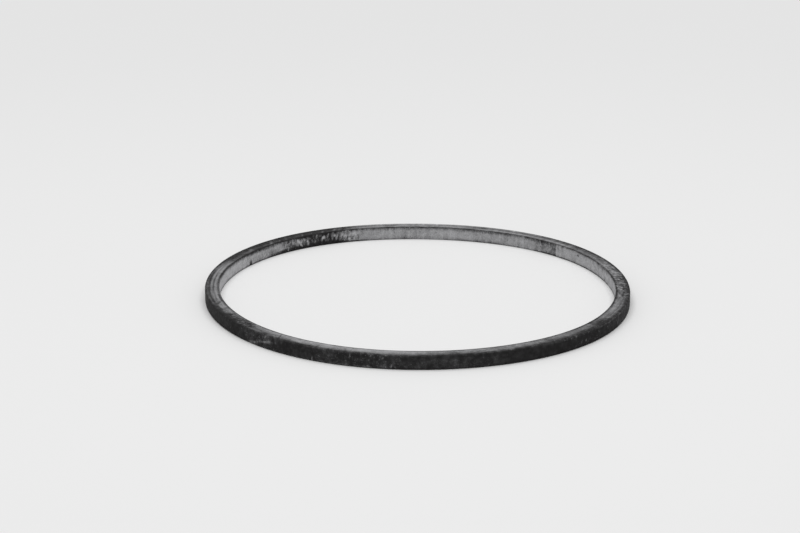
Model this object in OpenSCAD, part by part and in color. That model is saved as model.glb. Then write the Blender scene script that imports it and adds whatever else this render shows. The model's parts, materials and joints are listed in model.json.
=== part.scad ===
// Fuel pump gasket: one moulded rubber ring that seals the flange of a pump to the round opening of its tank.
// The ring lies flat with its lower face on Z = 0 and its axis on Z. All sizes are in millimetres.

/* [Ring] */
// Diameter of the bore, which slips over the neck under the flange
bore_d = 121; // [60:0.5:180]
// Width of the rubber, from the bore to the outer wall
ring_w = 4.4; // [3:0.1:8]
// Height of the rubber before it is squeezed
ring_h = 4.2; // [3:0.1:8]

/* [Edges] */
// Radius of the two soft edges of the outer wall
outer_edge_r = 0.5; // [0.2:0.05:1.2]
// Radius of the two crisp edges of the bore
inner_edge_r = 0.25; // [0.1:0.05:0.6]

/* [Hidden] */
// Radius of the bore, where the section starts
bore_r = bore_d / 2;
// Width of the flat sealing faces, between the rounds of the edges
face_w = ring_w - inner_edge_r - outer_edge_r;
// Steps round a full circle
$fn = 240;

// One side wall of the section: a straight wall at X = 0 with a round of edge_r at its foot and its head
module side_wall(edge_r) {
    translate([0, edge_r])
        square([edge_r, ring_h - 2 * edge_r]);
    for (z = [edge_r, ring_h - edge_r])
        translate([edge_r, z])
            circle(edge_r);
}

// The section of the rubber, with the bore's wall at X = 0 and the lower face at Y = 0
module section() {
    side_wall(inner_edge_r);
    translate([inner_edge_r, 0])
        square([face_w, ring_h]);
    translate([ring_w, 0])
        mirror([1, 0])
            side_wall(outer_edge_r);
}

// The whole gasket: the section carried once round the axis
module gasket_ring() {
    color("#2c2c2e")
        rotate_extrude()
            translate([bore_r, 0])
                section();
}

gasket_ring();
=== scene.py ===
# Fuel pump gasket: one black moulded rubber ring with a worn grey film of talc, some of it painted light
# and shade, lying on a pale floor
import json

import bpy
import numpy as np
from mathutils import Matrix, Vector


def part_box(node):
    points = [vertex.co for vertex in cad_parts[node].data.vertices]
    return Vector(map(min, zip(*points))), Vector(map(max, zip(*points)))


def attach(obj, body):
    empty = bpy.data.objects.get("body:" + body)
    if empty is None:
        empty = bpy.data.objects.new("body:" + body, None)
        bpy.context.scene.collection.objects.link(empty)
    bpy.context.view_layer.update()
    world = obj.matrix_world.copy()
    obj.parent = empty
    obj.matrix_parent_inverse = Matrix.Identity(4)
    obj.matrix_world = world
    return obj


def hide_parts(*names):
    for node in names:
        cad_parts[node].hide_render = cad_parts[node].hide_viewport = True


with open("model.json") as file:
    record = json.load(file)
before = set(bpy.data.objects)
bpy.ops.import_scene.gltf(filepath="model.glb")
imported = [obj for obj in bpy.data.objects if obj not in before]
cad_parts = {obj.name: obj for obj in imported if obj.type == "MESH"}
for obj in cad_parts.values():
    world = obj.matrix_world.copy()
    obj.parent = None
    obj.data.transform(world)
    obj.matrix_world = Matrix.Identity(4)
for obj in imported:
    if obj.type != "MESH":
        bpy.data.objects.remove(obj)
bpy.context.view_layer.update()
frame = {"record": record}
mm = 0.001

# sizes of the solid in mm, from its box and its straight walls
dims = {mount["name"]: mount["dims"] for mount in frame["record"]["mounts"]}
boxLow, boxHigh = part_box("gasket_ring")
height = (boxHigh.z - boxLow.z) / mm
boreRadius = dims["bore"]["r_mm"]
outerRadius = dims["outer_wall"]["r_mm"]
boreEdge = (height - dims["bore"]["length_mm"]) / 2
outerEdge = (height - dims["outer_wall"]["length_mm"]) / 2
midRadius = (boreRadius + outerRadius) / 2
print(f"frame: bore {2 * boreRadius:.1f} mm, outer {2 * outerRadius:.1f} mm, height {height:.1f} mm")


# one output of a shader tree; formulas on wires add Math nodes
class Wire:
    def __init__(self, tree, socket=None):
        self.tree = tree
        self.socket = socket

    # any node: its settings come first, then a value or a link for each input
    def node(self, kind, settings, inputs, output=0):
        made = self.tree.nodes.new("ShaderNode" + kind)
        for key, value in settings.items():
            setattr(made, key, value)
        for key, value in inputs.items():
            if isinstance(value, Wire):
                self.tree.links.new(value.socket, made.inputs[key])
            else:
                made.inputs[key].default_value = value
        return Wire(self.tree, made.outputs[output] if made.outputs else None)

    # another output of the node that this wire comes from
    def output(self, key):
        return Wire(self.tree, self.socket.node.outputs[key])

    def math(self, operation, first, second=0.0):
        return self.node("Math", {"operation": operation}, {0: first, 1: second})

    def __add__(self, other):
        return self.math("ADD", self, other)

    def __radd__(self, other):
        return self.math("ADD", other, self)

    def __sub__(self, other):
        return self.math("SUBTRACT", self, other)

    def __rsub__(self, other):
        return self.math("SUBTRACT", other, self)

    def __mul__(self, other):
        return self.math("MULTIPLY", self, other)

    def __rmul__(self, other):
        return self.math("MULTIPLY", other, self)

    def __truediv__(self, other):
        return self.math("DIVIDE", self, other)

    def __rtruediv__(self, other):
        return self.math("DIVIDE", other, self)

    # smooth step from 0 at low to 1 at high
    def rise(self, low, high):
        inputs = {"Value": self, "From Min": low, "From Max": high}
        return self.node("MapRange", {"interpolation_type": "SMOOTHSTEP"}, inputs)

    # this wire, held between low and high
    def within(self, low, high):
        return self.math("MINIMUM", self.math("MAXIMUM", self, low), high)

    # blend of two colours by this wire; the node's colours are its inputs 6 and 7 and its output 2
    def blend(self, first, second):
        settings = {"data_type": "RGBA", "blend_type": "MIX"}
        return self.node("Mix", settings, {"Factor": self, 6: first, 7: second}, 2)

    # x, y and z of this vector
    def parts(self):
        split = self.node("SeparateXYZ", {}, {0: self})
        return [split.output(axis) for axis in "XYZ"]


# start of an empty shader tree for a material or a world
def emptyTree(owner):
    owner.use_nodes = True
    owner.node_tree.nodes.clear()
    return Wire(owner.node_tree)


# new object in the scene
def addObject(name, data):
    made = bpy.data.objects.new(name, data)
    bpy.context.scene.collection.objects.link(made)
    return made


# turns a lamp or a camera level, along the line from its place to the target
def lookAt(made, target):
    made.rotation_euler = (target - made.location).to_track_quat("-Z", "Y").to_euler()


ring = {
    "turnSteps": 1360,  # grid steps round the axis
    "topSteps": 5,  # grid steps to a mm across the top
    "boreSteps": 4.5,
    "outerSteps": 3,
    "baseSteps": 2,
    "edgeSteps": 5,  # grid steps round each edge of the section
    # how the soft ring lies out of round: waves in a turn, cosine part and sine part in mm
    "swell": (
        (2, 0.0, -0.509),
        (3, 0.011, 0.243),
        (4, -0.307, -0.062),
        (5, -0.091, -0.058),
        (6, 0.028, 0.0),
    ),
    "mapRows": 5,  # rows that the skin is laid out in on its map
    "mapMargin": 0.01,  # share of a row that stays free at each side
}

# grey film of talc, 0 bare to 1 thick, by face, with some marks that are painted light and shade; angles
# are degrees round the ring, 0 right and 90 back
film = {
    "markSoftness": 0.25,  # mm, soft edge of a mark across
    "top": {
        "amount": 0.52,  # even film
        "across": (0.0, 0.35, 0.8, 1.4, 2.4, 3.1, 3.6, 4.0, 4.4),  # mm from the bore
        # the fall towards the outer edge is part worn film and part painted shade of the rounded outer edge
        "share": (0.45, 0.5, 1.0, 1.0, 0.87, 0.68, 0.4, 0.22, 0.05),  # what stays of the even film there
        # middle, half width and soft edge in degrees (two edges where the sides differ),
        # lowest and highest place across, change of film
        "marks": (
            # right end
            (351, 2, 2, 0.3, 1.5, -0.05),
            (354.5, 5, 2, 2.2, 2.6, -0.12),
            (355, 10, 6, 0.0, 0.5, -0.12),
            (357, 8, 5, 0.0, 4.6, -0.07),
            (3, 2.5, 2.5, 1.5, 2.1, 0.08),
            (12, 3, 3, 0.8, 2.8, -0.04),
            (13, 2, 1, 3.4, 3.9, -0.14),
            (15, 2, 2, 2.7, 3.3, 0.10),
            # back right
            (21, 2, 3, 0.4, 4.6, 0.04),
            (30, 5, 4, 0.0, 2.7, -0.10),
            (30, 5, 4, 2.8, 4.6, -0.05),
            (40, 3, 3, 0.0, 4.6, 0.05),
            (55, 13, 6, -0.4, 1.5, 0.05),
            (57, 16, 8, 2.1, 2.8, -0.09),
            (63, 8, 6, 0.6, 4.4, -0.03),
            # far side: lighter outer margin, painted light on the back of the rounded outer edge, which
            # faces the light
            (84, 26, 14, 3.0, 4.4, 0.26),
            (85, 22, 12, 0.6, 4.4, 0.05),
            (90, 9, 7, 3.2, 4.4, 0.12),
            # back left, rubbed bare
            (127, 7, 6, 0.0, 4.6, -0.17),
            (134, 18, 14, 0.0, 4.6, -0.24),
            (149, 7, 5, 1.8, 4.6, -0.08),
            (155, 6, 4, -0.4, 0.9, 0.08),
            (167, 6, 6, 0.0, 0.8, -0.13),
            # left end, pressed lines
            (171, 3, 3, 1.6, 3.2, 0.08),
            (174, 8, 6, 2.25, 2.6, 0.06),
            (180, 14, 6, 1.1, 1.5, 0.05),
            (184, 9, 6, 1.7, 2.0, -0.18),
            (184, 12, 6, 2.85, 3.3, -0.13),
            (184, 14, 8, 3.4, 4.2, 0.16),
            (185, 10, 6, 0.0, 0.35, 0.12),
            (185, 10, 6, 0.6, 0.9, -0.09),
            (195, 2.5, 2, 1.5, 2.1, 0.07),
            # front left
            (199.5, 7, 4, 0.4, 0.9, -0.09),
            (202.5, 3.0, 1.4, 0.9, 2.6, 0.02),
            (204, 3, 2, 2.8, 4.6, -0.08),
            (206.5, 3, 2, 1.6, 4.6, -0.08),
            (214, 5.2, 1.5, 0.0, 4.6, -0.15),
            (214, 5, 2, 0.3, 0.9, 0.09),
            (220, 4, 3, 3.0, 4.2, 0.16),
            (224.5, 4, 3, 2.2, 3.4, -0.07),
            (231, 2.5, 2, 0.0, 4.6, -0.06),
            (236, 3, 3, 2.9, 4.6, -0.05),
            # front
            (251, 18, 12, 0.0, 4.6, 0.12),
            (275, 4, 3, 0.0, 4.6, -0.06),
            (288, 5, 4, 2.7, 4.2, 0.07),
            (298, 9, 8, 0.0, 4.6, 0.035),
            # front right
            (311, 9, 6, 0.0, 1.6, -0.04),
            (315, 8, 6, 0.0, 4.6, -0.06),
            (318, 5, 5, 3.5, 4.4, 0.05),
            (326, 2.2, 1.2, 0.0, 4.6, -0.14),
            (327, 2.6, 0.8, 2.3, 4.6, -0.09),
            (332, 3, 2, 0.4, 2.6, -0.03),
            (336, 6, 2, 2.9, 3.9, 0.11),
            (339, 8, 4, 0.4, 0.9, -0.07),
            (340, 2, 1.6, 1.0, 2.2, 0.05),
            (345.5, 3.5, 1.5, 1.6, 2.4, 0.03),
        ),
        # degrees and place across at both ends, reach to each side in mm, change of film
        "scratches": (
            # right end
            (350.8, 0.5, 351.1, 2.1, 0.5, -0.24),
            (358.4, 0.9, 358.8, 2.1, 0.4, -0.16),
            (1.9, 1.6, 2.4, 2.5, 0.4, -0.16),
            (3.0, 0.4, 3.3, 2.6, 0.6, -0.24),
            (9.8, 2.5, 10.4, 3.2, 0.6, 0.22),
            # back right and far side
            (60.0, 2.6, 60.4, 4.2, 0.6, 0.15),
            (84.0, 2.6, 84.2, 4.2, 0.6, 0.15),
            (88.2, 2.6, 88.2, 4.2, 0.6, 0.15),
            # strokes where the back left is rubbed bare
            (114.3, 0.2, 112.3, 2.6, 0.7, -0.14),
            (116.4, 0.8, 115.2, 2.7, 0.9, 0.18),
            (120.4, 0.1, 119.5, 1.9, 0.7, 0.25),
            (123.7, 1.1, 122.8, 2.7, 0.4, 0.24),
            (126.9, 0.8, 126.1, 2.9, 0.7, 0.30),
            (133.0, 0.9, 132.1, 2.7, 0.7, 0.22),
            (135.8, 0.5, 134.7, 1.7, 0.55, 0.26),
            (139.0, 0.8, 137.5, 2.9, 0.9, 0.24),
            (148.8, 0.3, 147.2, 2.0, 1.2, 0.16),
            # left end and front left
            (190.5, 0.7, 193.5, 0.8, 0.5, -0.16),
            (197.0, 1.6, 198.3, 2.5, 0.7, -0.27),
            (209.5, 1.8, 209.9, 2.5, 0.6, 0.12),
            (216.6, 1.7, 218.6, 1.8, 0.9, -0.16),
            (220.6, 1.8, 220.7, 2.2, 0.5, -0.20),
            (229.6, 2.9, 231.0, 4.2, 0.35, 0.16),
            (230.4, 0.5, 231.8, 3.5, 0.4, -0.20),
            (232.0, 3.0, 233.0, 4.2, 0.35, 0.12),
            # front
            (235.0, 2.3, 235.1, 3.4, 0.5, -0.10),
            (236.8, 1.6, 239.0, 3.4, 0.8, 0.08),
            (237.0, 0.9, 236.8, 1.4, 0.45, -0.16),
            (241.6, 2.8, 241.9, 4.4, 0.6, -0.08),
            (243.6, 2.3, 243.8, 4.4, 0.6, -0.15),
            (246.9, 2.9, 247.3, 4.4, 0.35, -0.14),
            (251.2, 2.3, 251.7, 3.6, 0.5, -0.12),
            (253.0, 1.0, 253.1, 1.4, 0.45, -0.18),
            (256.6, 3.0, 257.2, 4.2, 0.6, -0.08),
            # front right
            (329.2, 2.5, 329.9, 3.5, 0.6, -0.18),
            (342.4, 0.5, 342.6, 3.4, 0.3, -0.10),
        ),
        # marks that make the film patchy, above 0, or calm, below 0
        "patches": (
            (359, 14, 8, 0.0, 4.6, 0.75),  # mottled right end
            (180, 16, 6, 0.0, 4.6, -0.5),
            (214, 5, 2, 0.0, 4.6, 0.5),
            (229, 7, 3, 0.0, 4.6, -0.5),
            (252, 14, 8, 0.0, 4.6, -0.3),
            (315, 6, 4, 0.0, 4.6, -0.5),
            (339, 8, 2, 0.0, 4.6, -0.6),
        ),
        "streaked": 0.0,  # how streaked the face is
        "streakMarks": (),  # marks that add to it
    },
    "bore": {
        # more than the top's: part a thicker film, part painted light for the light that reaches the
        # upright bore wall from the front
        "amount": 0.75,
        "across": (0.0, 0.2, 0.6, 1.3, 2.8, 3.6, 3.95, 4.15),  # level in mm
        "share": (0.2, 0.5, 0.9, 1.0, 1.0, 0.95, 0.75, 0.35),
        "marks": (
            # right
            (8, 4, 4, -0.6, 1.2, 0.06),
            (16.5, 2.5, 2.5, 3.2, 4.6, -0.10),
            (28, 10, 5, -0.6, 0.3, -0.09),
            # round a sharp dark start that fades towards the far side
            (41, 1.2, 1.0, -0.6, 2.4, 0.06),
            (44, 1.2, (0.4, 12), -0.6, 4.6, -0.20),
            (46, 3, (0.5, 14), 2.8, 4.6, -0.03),
            (53, 3, 3, -0.6, 0.9, 0.08),
            # far side
            (67, 3.5, 3, -0.6, 4.6, -0.05),
            (68, 5, 3, 3.4, 4.6, -0.05),
            (69, 4, 3, -0.6, 0.4, -0.08),
            (77, 2.5, 2.5, 0.8, 3.0, 0.06),
            (78, 30, 10, -0.6, 4.6, -0.05),
            (80, 26, 6, -0.6, 0.4, 0.16),
            (87, 4, 3, -0.6, 0.5, 0.09),
            (96, 48, 8, 3.3, 4.6, -0.09),
            # back left, worn through
            (111, 3, 3, -0.6, 0.5, -0.14),
            (112, 3.5, 2, 1.0, 2.2, -0.08),
            (115.5, 3.0, 3, -0.6, 0.9, -0.20),
            (119, 0.6, 0.6, 0.8, 2.2, -0.10),
            (120.5, 3.0, 2.5, -0.6, 1.5, -0.20),
            (121.5, 4.5, 5, -0.6, 4.6, -0.36),
            (122, 4, 3, 3.3, 4.6, 0.08),
            (123, 1.7, 1.0, -0.6, 4.6, -0.10),
            (124, 2, 2, 2.8, 4.6, 0.10),
            (126.5, 2.0, 1.5, -0.6, 0.6, -0.18),
            (127.4, 1.8, 1.0, 2.1, 3.6, 0.20),
            (129.5, 3, 4, -0.6, 4.6, -0.11),
            (130.5, 2, 2, 0.8, 1.5, -0.12),
            (131.5, 3.0, 2, -0.6, 1.25, -0.20),
            (131.5, 5, 6, -0.6, 1.1, -0.18),
            (132.7, 1.4, 1.2, 1.2, 4.6, -0.12),
            (134, 6, 6, -0.6, 4.6, -0.08),
            (137, 3, 3, 3.0, 4.2, 0.06),
            # left
            (143, 4, 4, -0.6, 2.4, -0.07),
            (151, 10, 6, 3.2, 4.6, -0.15),
            (161, 12, 6, 3.6, 4.6, -0.11),
            (167, 10, 6, -0.6, 4.6, 0.09),
            (170, 5, 4, -0.6, 0.5, -0.12),
        ),
        "scratches": (
            # right
            (13.5, 2.3, 11.0, 1.5, 0.8, 0.07),
            (14.8, 0.3, 13.7, 1.3, 1.1, -0.18),
            (32.0, 3.0, 32.7, 3.1, 0.4, -0.45),  # small dark spot
            (42.2, 0.2, 42.2, 3.8, 0.35, 0.10),
            # strokes where the back left is worn through
            (108.7, 0.6, 108.7, 2.1, 0.4, -0.26),
            (109.6, 2.4, 110.4, 3.4, 0.6, 0.12),
            (112.2, 0.9, 112.1, 2.5, 0.4, -0.26),
            (113.5, 0.9, 113.0, 1.9, 0.4, -0.26),
            (113.9, 2.4, 114.3, 3.5, 0.6, 0.14),
            (115.4, 0.8, 115.0, 2.7, 0.6, -0.28),
            (116.8, 0.8, 116.6, 2.0, 0.4, -0.26),
            (118.0, 0.2, 118.0, 4.0, 0.5, -0.24),
            (120.0, 2.9, 118.9, 2.6, 0.6, 0.20),
            (120.9, 1.2, 120.2, 3.0, 0.65, 0.30),
            (122.6, 2.8, 122.7, 3.4, 0.5, 0.12),
            (124.6, 2.3, 124.7, 2.6, 0.5, 0.12),
            (125.3, 0.5, 125.6, 2.3, 0.6, 0.48),
            (127.6, 0.7, 128.2, 2.0, 0.55, 0.42),
            (127.7, 0.8, 129.5, 3.7, 0.55, 0.22),
            (130.2, 1.5, 130.3, 3.2, 0.45, -0.24),
            (132.8, 0.2, 132.9, 1.7, 0.4, 0.26),
            # left
            (149.9, 0.0, 149.9, 1.2, 1.05, -0.50),  # dark spot at the foot
        ),
        "patches": (
            (16, 8, 4, -0.6, 4.6, 0.25),
            (46, 4, 2, -0.6, 4.6, 0.3),
            (122.5, 10.5, (5, 4), -0.6, 4.6, 0.7),
            (147, 8, 6, -0.6, 4.6, 0.3),
        ),
        "streaked": 0.4,
        "streakMarks": (
            (80, 38, 8, -0.6, 4.6, 0.6),
            (168, 14, 8, -0.6, 4.6, 0.1),
        ),
    },
    "outer": {
        "amount": 0.10,
        "across": (0.0, 4.2),  # level in mm
        "share": (1.0, 1.0),
        "marks": (
            # front left
            (203, 10, 8, 0.0, 4.3, -0.06),
            (226, 4, 3, 0.4, 4.0, 0.03),
            (228, 2.5, 1.5, 2.5, 4.3, 0.05),
            (237, 4, 3, 0.6, 4.0, -0.04),
            # front
            (246, 12, 8, -0.6, 0.6, 0.13),
            (257, 1.5, 1, -0.2, 0.8, 0.10),
            # lighter band at mid-height across the front: painted soft sheen on the front of the wall
            (267, 4, 5, 0.6, 2.6, 0.05),
            (270, 18, 10, 0.4, 3.4, 0.05),
            (284, 6, 6, 0.6, 3.0, 0.04),
            # front right
            (308, 14, 8, 0.0, 4.3, -0.09),
            (322, 8, 8, -0.6, 3.5, -0.09),
            # lighter top of the wall at the front right: painted highlight where the outer top edge catches
            # the light
            (323, 17, 5, 3.6, 4.6, 0.18),
            (338, 6, 5, 0.0, 4.3, -0.01),
        ),
        "scratches": (
            # slanted scuff
            (221.6, 0.3, 223.4, 0.9, 1.0, 0.30),
            (223.6, 0.8, 225.2, 1.5, 0.8, 0.15),
            (225.6, 1.7, 227.2, 2.0, 0.6, 0.28),
            (227.5, 2.0, 229.0, 2.4, 0.9, 0.36),
            (229.4, 2.3, 231.2, 2.7, 0.7, 0.17),
            # specks beside it
            (219.3, 3.2, 219.8, 3.8, 0.6, 0.08),
            (219.4, 1.9, 220.6, 1.95, 0.5, 0.18),
            (227.4, 3.4, 228.0, 4.0, 0.6, 0.20),
            (231.2, 3.2, 231.4, 4.0, 0.5, 0.08),
            (233.4, 3.3, 233.6, 4.0, 0.5, 0.08),
            (235.6, 3.4, 235.7, 4.0, 0.5, 0.08),
            # specks at the front
            (242.7, 0.4, 242.8, 1.3, 0.4, 0.42),
            (253.0, 2.6, 253.1, 3.6, 0.45, 0.30),
            (263.6, 0.9, 263.7, 1.3, 0.4, 0.28),
            (265.0, 0.3, 264.6, 0.8, 0.4, 0.26),
            # specks at the front right
            (310.6, 3.5, 310.6, 4.0, 0.4, 0.20),
            (313.8, 0.9, 313.9, 1.2, 0.4, 0.42),
            (313.8, 3.5, 313.9, 4.0, 0.4, 0.22),
            (315.8, 1.2, 315.9, 1.7, 0.4, 0.45),
            (317.6, 1.5, 317.7, 2.0, 0.5, 0.55),
            (319.3, 1.6, 319.4, 2.2, 0.4, 0.45),
            (323.4, 2.5, 323.5, 2.8, 0.4, 0.42),
            (324.6, 3.7, 324.7, 4.1, 0.5, 0.18),
            (327.6, 2.3, 327.8, 2.7, 0.4, 0.36),
            (334.0, 1.2, 334.1, 1.9, 0.4, 0.30),
            (335.8, 3.9, 337.0, 3.4, 0.5, 0.22),
        ),
        "patches": (
            (216, 5, 4, 0.0, 4.3, -0.3),
            (226, 5, 3, 0.0, 4.3, 0.2),
            (237, 4, 3, 0.0, 4.3, -0.7),
            (253, 9, 7, 0.0, 4.3, 0.2),
            (288, 18, 9, 0.0, 4.3, -0.85),
        ),
        "streaked": 0.3,
        "streakMarks": (),
    },
}


# closed section as radius and level in mm: straight sides are even blends of their ends,
# edges are quarter circles, centre + size * (cos a, sin a); it is walked with the rubber on the left
def sectionLoop():
    def side(start, end, stepsPerMm):
        count = max(2, round(stepsPerMm * np.hypot(end[0] - start[0], end[1] - start[1])))
        share = np.arange(count)[:, None] / count
        return np.array(start) * (1 - share) + np.array(end) * share

    def edge(centre, size, startDegrees):
        angle = np.radians(startDegrees + 90 * np.arange(ring["edgeSteps"]) / ring["edgeSteps"])
        return np.array(centre) + size * np.stack([np.cos(angle), np.sin(angle)], axis=1)

    innerFlat = boreRadius + boreEdge
    outerFlat = outerRadius - outerEdge
    return np.concatenate([
        side((midRadius, 0), (outerFlat, 0), ring["baseSteps"]),
        edge((outerFlat, outerEdge), outerEdge, -90),
        side((outerRadius, outerEdge), (outerRadius, height - outerEdge), ring["outerSteps"]),
        edge((outerFlat, height - outerEdge), outerEdge, 0),
        side((outerFlat, height), (innerFlat, height), ring["topSteps"]),
        edge((innerFlat, height - boreEdge), boreEdge, 90),
        side((boreRadius, height - boreEdge), (boreRadius, boreEdge), ring["boreSteps"]),
        edge((innerFlat, boreEdge), boreEdge, 180),
        side((innerFlat, 0), (midRadius, 0), ring["baseSteps"]),
    ])


# smooth step of an array from 0 at low to 1 at high
def rise(value, low, high):
    share = np.clip((value - low) / (high - low), 0, 1)
    return share * share * (3 - 2 * share)


# degrees from a place on the ring to each turn, from -180 to 180
def degreesFrom(place, turn):
    return (np.degrees(turn) - place + 180) % 360 - 180


# sum of marks: each is a window round the ring times a window across it, times its change
def marked(marks, turn, across):
    total = 0 * turn + 0 * across
    blur = film["markSoftness"]
    for middle, half, soft, lowest, highest, change in marks:
        before, after = soft if isinstance(soft, tuple) else (soft, soft)
        away = degreesFrom(middle, turn)
        there = rise(away + half + before, 0, before) * rise(half + after - away, 0, after)
        there = there * rise(across - lowest, -blur, blur) * rise(highest - across, -blur, blur)
        total = total + change * there
    return total


# sum of scratches: 1 on the line between the two ends, falling to 0 at its reach, times its change
def scratched(scratches, turn, across):
    total = 0 * turn + 0 * across
    for startTurn, startAcross, endTurn, endAcross, reach, change in scratches:
        along = np.radians(degreesFrom(startTurn, turn)) * midRadius
        up = across - startAcross
        length = np.radians(endTurn - startTurn) * midRadius
        climb = endAcross - startAcross
        share = np.clip((along * length + up * climb) / (length ** 2 + climb ** 2), 0, 1)
        away = np.hypot(along - share * length, up - share * climb)
        total = total + change * (1 - rise(away, 0, reach))
    return total


# even film of a face, which holds painted shade at the top's outer margin and painted light in the bore's
# amount: its amount times the share that stays at each place across
def evenFilmAndPaintedLight(face, across):
    return face["amount"] * np.interp(across, face["across"], face["share"])


# film with its painted light and shade, patches and streaks on every grid point: the sum of each face's
# own, times how far the skin faces that way; the base has the top's even film without its marks
def filmAndPaintedLightAmount(turn, section):
    level = section[:, 1][None, :]
    fromBore = section[:, 0][None, :] - boreRadius
    along = np.roll(section, -1, axis=0) - np.roll(section, 1, axis=0)
    along = along / np.hypot(along[:, 0], along[:, 1])[:, None]
    outward, upward = along[:, 1][None, :], -along[:, 0][None, :]
    faces = (
        (film["top"], fromBore, np.clip(upward, 0, 1)),
        (film["bore"], level, np.clip(-outward, 0, 1)),
        (film["outer"], level, np.clip(outward, 0, 1)),
    )
    talc = evenFilmAndPaintedLight(film["top"], fromBore) * np.clip(-upward, 0, 1)
    patches, streaks = 0, 0
    for face, across, weight in faces:
        own = evenFilmAndPaintedLight(face, across) + marked(face["marks"], turn, across)
        own = own + scratched(face["scratches"], turn, across)
        talc = talc + own * weight
        patches = patches + marked(face["patches"], turn, across) * weight
        streaks = streaks + (face["streaked"] + marked(face["streakMarks"], turn, across)) * weight
    wall = np.abs(outward) + 0 * turn
    return {"talc": talc, "patches": patches, "wall": wall, "streaks": streaks}


# ring: the section carried round the axis, each point at its own radius plus the swell of its turn
def makeRing(material):
    section = sectionLoop()
    turnCount, loopCount = ring["turnSteps"], len(section)
    turn = 2 * np.pi * np.arange(turnCount)[:, None] / turnCount
    swell = sum(a * np.cos(waves * turn) + b * np.sin(waves * turn) for waves, a, b in ring["swell"])
    radius = section[:, 0][None, :] + swell
    level = section[:, 1][None, :] + 0 * turn
    points = np.stack([radius * np.cos(turn), radius * np.sin(turn), level], axis=2) * mm

    # each quad joins a grid point to the next turn and the next step of the section
    turnAt, loopAt = np.meshgrid(np.arange(turnCount), np.arange(loopCount), indexing="ij")
    turnNext, loopNext = (turnAt + 1) % turnCount, (loopAt + 1) % loopCount
    corners = [(turnAt, loopAt), (turnNext, loopAt), (turnNext, loopNext), (turnAt, loopNext)]
    quads = np.stack([a * loopCount + b for a, b in corners], axis=2).reshape(-1, 4)
    mesh = bpy.data.meshes.new("gasketRing")
    mesh.from_pydata(points.reshape(-1, 3).tolist(), [], quads.tolist())
    mesh.shade_smooth()
    for name, values in filmAndPaintedLightAmount(turn, section).items():
        mesh.attributes.new(name, "FLOAT", "POINT").data.foreach_set("value", values.ravel())

    # map: the skin cut into equal rows, turn along each row and the way round the section across it
    steps = np.hypot(*(np.roll(section, -1, axis=0) - section).T)
    wayRound = np.concatenate([[0], np.cumsum(steps)]) / steps.sum()
    wayRound = ring["mapMargin"] + (1 - 2 * ring["mapMargin"]) * wayRound
    rowLength = turnCount // ring["mapRows"]
    row, step = turnAt // rowLength, turnAt % rowLength
    corners = [(step, loopAt), (step + 1, loopAt), (step + 1, loopAt + 1), (step, loopAt + 1)]
    places = [np.stack([a / rowLength, (row + wayRound[b]) / ring["mapRows"]], axis=2) for a, b in corners]
    layer = mesh.uv_layers.new(name="OFBake")
    layer.data.foreach_set("uv", np.stack(places, axis=2).ravel())
    mesh.materials.append(material)
    print(f"ring: {turnCount} turns of {loopCount} points, {2 * len(quads)} triangles")
    return addObject("gasketRing", mesh)


rubber = {
    "bareColour": (0.0107, 0.0102, 0.0104, 1),
    "filmColour": (0.52, 0.52, 0.532, 1),
    "bareRoughness": 0.8,
    "filmRoughness": 0.95,
    "shine": 0.12,  # specular level
    # noises that break the film up: size in mm, detail and roughness
    "cloud": (7.0, 2, 0.55),
    "blotch": (1.8, 4, 0.65),
    "grain": (0.3, 2, 0.7),
    "streak": (0.9, 3, 0.6),  # size round the ring
    "sweep": (2.4, 2, 0.55),  # broad streaks
    "patch": (0.6, 3, 0.6),
    "rub": (0.5, 3, 0.55),  # size across
    "streakLength": 6.0,  # times as long across, for streaks and sweeps
    "patchLength": 1.7,  # times as long across
    "rubLength": 10.0,  # times as long round the ring
    # strength of the noises on the flat faces and on the walls
    "blotchStrength": (0.5, 0.43),
    "grainStrength": (0.5, 0.65),
    "rubStrength": (0.4, 0.05),
    "cloudStrength": 0.12,  # everywhere
    "streakStrength": (0.1, 0.15),  # everywhere, and added where the film is streaked
    "sweepStrength": 0.3,  # where the film is streaked
    "patchStrength": 1.6,  # where the film is patchy
    "cover": (0.15, 1.05),  # film at which the rubber begins to be covered, and is hidden
    "thin": (0.0, 0.3),  # cover over which the film stops being thin
    "speck": (0.1, 0.4),  # noise at which a speck of dust begins, and is full
    "dust": (0.1, 0.13),  # least and most dust in a speck, by the talc there
    "dustStrength": (1.1, 0.6),  # everywhere, and added on thin film
    "veil": (0.0, 0.15),  # least and most talc that counts as a veil on thin film
    "veilStrength": 0.05,
    "haze": (-0.15, 0.3),  # noise at which the haze on thin film begins, and is full
    "hazeCloud": 0.5,  # share of the clouds in that noise
    "hazeStrength": (0.035, 0.25),  # everywhere, and added by the veil
    "chalk": (0.0, 0.3),  # amount over which the surface turns from bare to chalky
    "bumpStrength": 0.35,
    "bumpDepth": 0.05,  # mm
    "bumpGrain": 0.6,  # share of the grain in the bump
    "bumpChalk": 0.4,
}
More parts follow.
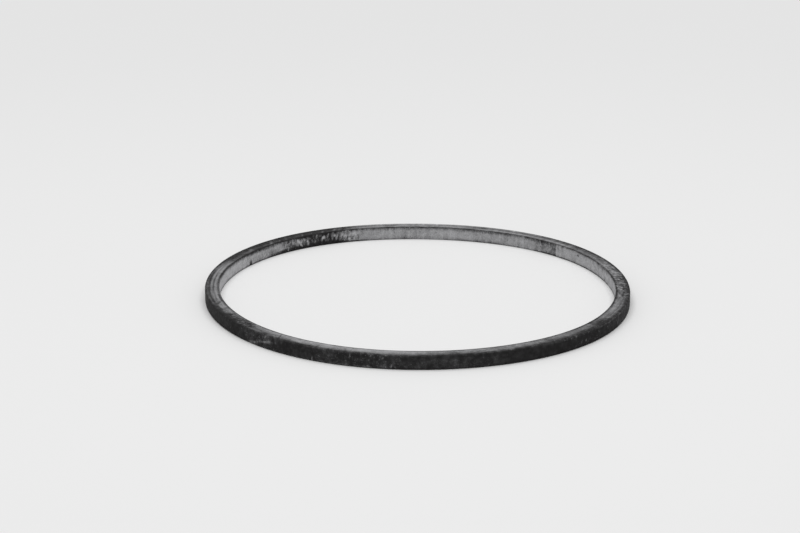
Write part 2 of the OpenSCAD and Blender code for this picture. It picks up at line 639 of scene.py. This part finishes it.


# worn rubber with painted light: cover is the smooth step of talc + noises, where the talc also holds
# painted light and shade, and where it is thin a veil, a haze and more dust lie on it; colour and roughness
# go from bare rubber to film by the amount, cover + dust + veil + haze
def wornRubber():
    material = bpy.data.materials.new("wornRubber")
    start = emptyTree(material)
    place = start.node("TexCoord", {}, {}, "Object")
    place = start.node("VectorMath", {"operation": "SCALE"}, {0: place, "Scale": 1 / mm})
    x, y, z = place.parts()
    radius = start.math("SQRT", x * x + y * y)

    # value kept on the grid points of the ring
    def kept(name):
        return start.node("Attribute", {"attribute_name": name}, {}, "Fac")

    talc, patches, wall, streaks = kept("talc"), kept("patches"), kept("wall"), kept("streaks")

    # noise from -0.5 to 0.5
    def noise(vector, name):
        size, detail, roughness = rubber[name]
        inputs = {"Vector": vector, "Scale": 1 / size, "Detail": detail, "Roughness": roughness}
        return start.node("TexNoise", {}, inputs) - 0.5

    # coordinates that run round the ring and across its skin, each stretched
    def skin(alongStretch, acrossStretch):
        along = midRadius / alongStretch
        across = (radius - z) / acrossStretch
        return start.node("CombineXYZ", {}, {0: x / radius * along, 1: y / radius * along, 2: across})

    # strength on the flat faces, going over to the one on the walls
    def byFace(name):
        flat, walls = rubber[name]
        return flat + (walls - flat) * wall

    # first value, plus the second times a wire
    def plus(name, wire):
        first, second = rubber[name]
        return first + second * wire

    cloud = noise(place, "cloud")
    blotch = noise(place, "blotch")
    grain = noise(place, "grain")
    streak = noise(skin(1, rubber["streakLength"]), "streak")
    sweep = noise(skin(1, rubber["streakLength"]), "sweep")
    patch = noise(skin(1, rubber["patchLength"]), "patch")
    rub = noise(skin(rubber["rubLength"], 1), "rub")

    patchy = start.math("MAXIMUM", patches, 0.0)
    calm = 1 + start.math("MINIMUM", patches, 0.0)
    breakup = cloud * rubber["cloudStrength"] + blotch * byFace("blotchStrength") * (1 + patches)
    breakup = breakup + grain * byFace("grainStrength") + rub * byFace("rubStrength")
    breakup = breakup + streak * plus("streakStrength", streaks) + sweep * rubber["sweepStrength"] * streaks
    breakup = breakup + patch * patchy * rubber["patchStrength"]
    cover = (talc + breakup).rise(*rubber["cover"])
    thin = 1 - cover.rise(*rubber["thin"])

    dust = (grain + patch).rise(*rubber["speck"]) * talc.within(*rubber["dust"]) * calm
    veil = talc.within(*rubber["veil"])
    haze = (blotch + cloud * rubber["hazeCloud"]).rise(*rubber["haze"])
    amount = cover + dust * plus("dustStrength", thin)
    amount = amount + thin * (veil * rubber["veilStrength"] + haze * plus("hazeStrength", veil))

    colour = amount.blend(rubber["bareColour"], rubber["filmColour"])
    chalk = amount.rise(*rubber["chalk"])
    roughness = rubber["bareRoughness"] + (rubber["filmRoughness"] - rubber["bareRoughness"]) * chalk
    relief = grain * rubber["bumpGrain"] + chalk * rubber["bumpChalk"]
    normal = start.node("Bump", {}, {
        "Strength": rubber["bumpStrength"],
        "Distance": rubber["bumpDepth"] * mm,
        "Height": relief,
    })
    surface = start.node("BsdfPrincipled", {}, {
        "Base Color": colour,
        "Roughness": roughness,
        "Specular IOR Level": rubber["shine"],
        "Normal": normal,
    })
    start.node("OutputMaterial", {}, {"Surface": surface})
    print("rubber: black with a worn grey film")
    return material


studio = {
    "floorColour": (0.835, 0.835, 0.835, 1),
    "floorRadius": 3.0,  # m
    "floorSteps": 96,  # corners of the disc
    # painted falloff: between these the floor turns into the darker backdrop, standing in for light that
    # falls off away from the ring
    "fadeStart": 0.1,  # m from the middle, where the floor begins to fade into the backdrop
    "fadeEnd": 0.6,  # m
    "domeLevel": 0.45,
    "backdrop": (0.78, 0.78, 0.78, 1),
    "softboxSize": 1.6,  # m
    "softboxPlace": (0.0, -0.15, 1.5),  # m
    "softboxPower": 17.0,  # W
}


# floor: a round disc, radius times (cos turn, sin turn), that fades into the darker backdrop away from its
# middle, a painted falloff of the light
def makeFloor():
    turn = 2 * np.pi * np.arange(studio["floorSteps"]) / studio["floorSteps"]
    rim = np.stack([np.cos(turn), np.sin(turn), 0 * turn], axis=1) * studio["floorRadius"]
    mesh = bpy.data.meshes.new("floor")
    mesh.from_pydata(rim.tolist(), [], [list(range(len(rim)))])
    material = bpy.data.materials.new("paleFloor")
    start = emptyTree(material)
    place = start.node("TexCoord", {}, {}, "Object")
    away = start.node("VectorMath", {"operation": "LENGTH"}, {0: place}, "Value")
    near = start.node("BsdfDiffuse", {}, {"Color": studio["floorColour"]})
    far = start.node("Emission", {}, {"Color": studio["backdrop"], "Strength": 1.0})
    # painted falloff: away from the middle the lit floor gives way to the darker glowing backdrop
    paintedFalloff = away.rise(studio["fadeStart"], studio["fadeEnd"])
    surface = start.node("MixShader", {}, {0: paintedFalloff, 1: near, 2: far})
    start.node("OutputMaterial", {}, {"Surface": surface})
    mesh.materials.append(material)
    made = addObject("floor", mesh)
    print("floor: pale disc")


# light: an even dome that shows as the pale backdrop, and one large softbox overhead
def makeLight():
    scene = bpy.context.scene
    scene.world = bpy.data.worlds.new("studio")
    start = emptyTree(scene.world)
    byCamera = start.node("LightPath", {}, {}, "Is Camera Ray")
    inGloss = byCamera.output("Is Glossy Ray")
    throughGlass = byCamera.output("Is Transmission Ray")
    shown = start.math("MAXIMUM", byCamera, start.math("MAXIMUM", inGloss, throughGlass))
    dome = [studio["domeLevel"]] * 3 + [1]
    colour = shown.blend(dome, studio["backdrop"])
    surface = start.node("Background", {}, {"Color": colour, "Strength": 1.0})
    start.node("OutputWorld", {}, {"Surface": surface})
    lamp = bpy.data.lights.new("softbox", "AREA")
    lamp.size = studio["softboxSize"]
    lamp.energy = studio["softboxPower"]
    softbox = addObject("softbox", lamp)
    softbox.location = studio["softboxPlace"]
    lookAt(softbox, Vector())
    scene.view_settings.view_transform = "Standard"
    print("light: dome and softbox")


camera = {
    "lens": 103.29,  # mm on the sensor below
    "sensor": 36.0,
    "clipStart": 0.01,  # m
    "distance": 701.27,  # mm from the ring's centre
    "elevation": 18.441,  # degrees above the floor
    "aim": (-5.283, 0.0, 9.64),  # mm, what the middle of the picture looks at
}


# camera: distance * (0, -cos e, sin e), turned level towards its aim
def makeCamera():
    data = bpy.data.cameras.new("camera")
    data.lens = camera["lens"]
    data.sensor_width = camera["sensor"]
    data.clip_start = camera["clipStart"]
    angle = np.radians(camera["elevation"])
    made = addObject("camera", data)
    made.location = Vector((0, -np.cos(angle), np.sin(angle))) * camera["distance"] * mm
    lookAt(made, Vector(camera["aim"]) * mm)
    bpy.context.scene.camera = made
    print("camera: in place")


gasket = makeRing(wornRubber())
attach(gasket, "root")
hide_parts("gasket_ring")
makeFloor()
makeLight()
makeCamera()
